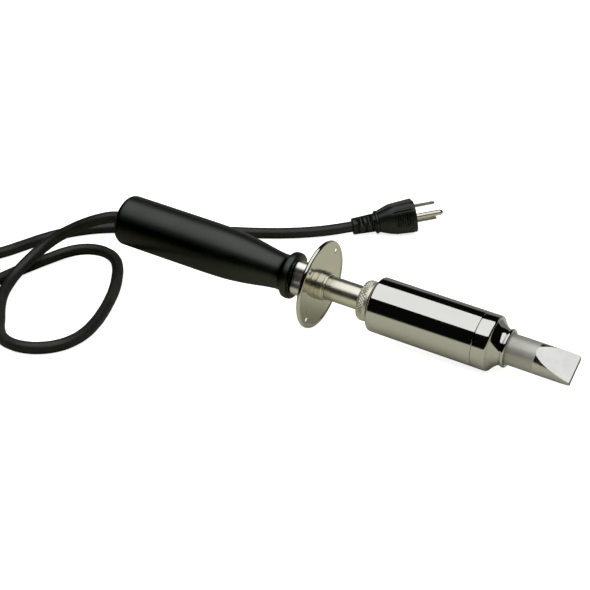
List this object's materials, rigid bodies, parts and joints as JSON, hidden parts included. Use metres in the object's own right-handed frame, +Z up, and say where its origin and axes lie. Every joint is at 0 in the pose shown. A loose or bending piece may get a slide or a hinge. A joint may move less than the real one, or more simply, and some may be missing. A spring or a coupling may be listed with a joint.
{
  "type": "electric iron",
  "caption": "Mains electric iron: turned wooden handle, heat shield, polished barrel, slide-out chisel tip, loose rubber cord with a plug.",
  "frame": {"origin": "centre of the iron's box, without its cord, on the surface it lies on", "axes": "+X from the handle's butt to the tip, +Z up; the iron's axis dips 5.4 degrees towards the tip"},
  "size_m": [0.554, 0.3866, 0.0682],
  "materials": {
    "lacquered_wood": "turned hardwood under black satin lacquer",
    "nickel": "bright nickel plate, slightly warm",
    "chrome": "mirror polished plate",
    "zinc_steel": "zinc plated steel",
    "plated_tip": "iron plated copper, matt brushed",
    "rubber": "matt black moulded rubber",
    "ceramic": "unglazed steatite",
    "mica": "mica wrap and glass braid",
    "resistance_wire": "oxidised resistance wire",
    "copper": "bare copper strand",
    "brass": "nickel washed brass"
  },
  "bodies": {
    "handle_unit": {"handle": "lacquered_wood", "cord_bush": "rubber", "cord_tail": "rubber", "cord_clamp": "zinc_steel", "terminal_block": "ceramic", "terminal_screw_1": "brass", "terminal_screw_2": "brass", "lead_live": "mica", "lead_neutral": "mica", "lead_ground": "copper", "handle_bracket": "nickel", "bracket_screw_1": "zinc_steel", "bracket_screw_2": "zinc_steel", "bracket_screw_3": "zinc_steel", "heat_shield": "nickel", "shield_collar": "nickel", "neck_tube": "nickel", "ring_washer": "zinc_steel", "barrel_spigot": "zinc_steel", "core_tube": "zinc_steel", "element_winding": "resistance_wire", "mica_sleeve": "mica", "rear_insulator": "ceramic", "front_insulator": "ceramic", "cord_handle_run": "rubber", "cord_plug_run": "rubber", "cord_coil": "rubber", "cord_tie": "rubber", "plug_body": "rubber", "plug_strain_relief": "rubber", "plug_blade_1": "brass", "plug_blade_2": "brass", "plug_ground_pin": "brass"},
    "ring_nut": {"ring_nut": "nickel"},
    "barrel_unit": {"barrel_shell": "chrome", "nose_cap": "chrome"},
    "tip_screw": {"tip_screw": "zinc_steel"},
    "tip_unit": {"tip": "plated_tip"}
  },
  "joints": [
    {"name": "ring_nut_turn", "type": "hinge", "parent": "handle_unit", "child": "ring_nut", "pos_m": [0.02603, 0, 0.0288], "axis": [0.9955, 0, -0.0947], "range_deg": [0, 1080]},
    {"name": "barrel_slide", "type": "slide", "parent": "handle_unit", "child": "barrel_unit", "axis": [0.9955, 0, -0.0947], "range_m": [0, 0.09]},
    {"name": "tip_screw_turn", "type": "hinge", "parent": "barrel_unit", "child": "tip_screw", "pos_m": [0.12657, 0, 0.01923], "axis": [-0.082, 0.5, -0.8621], "range_deg": [0, 1080]},
    {"name": "tip_slide", "type": "slide", "parent": "barrel_unit", "child": "tip_unit", "axis": [0.9955, 0, -0.0947], "range_m": [0, 0.075]}
  ]
}
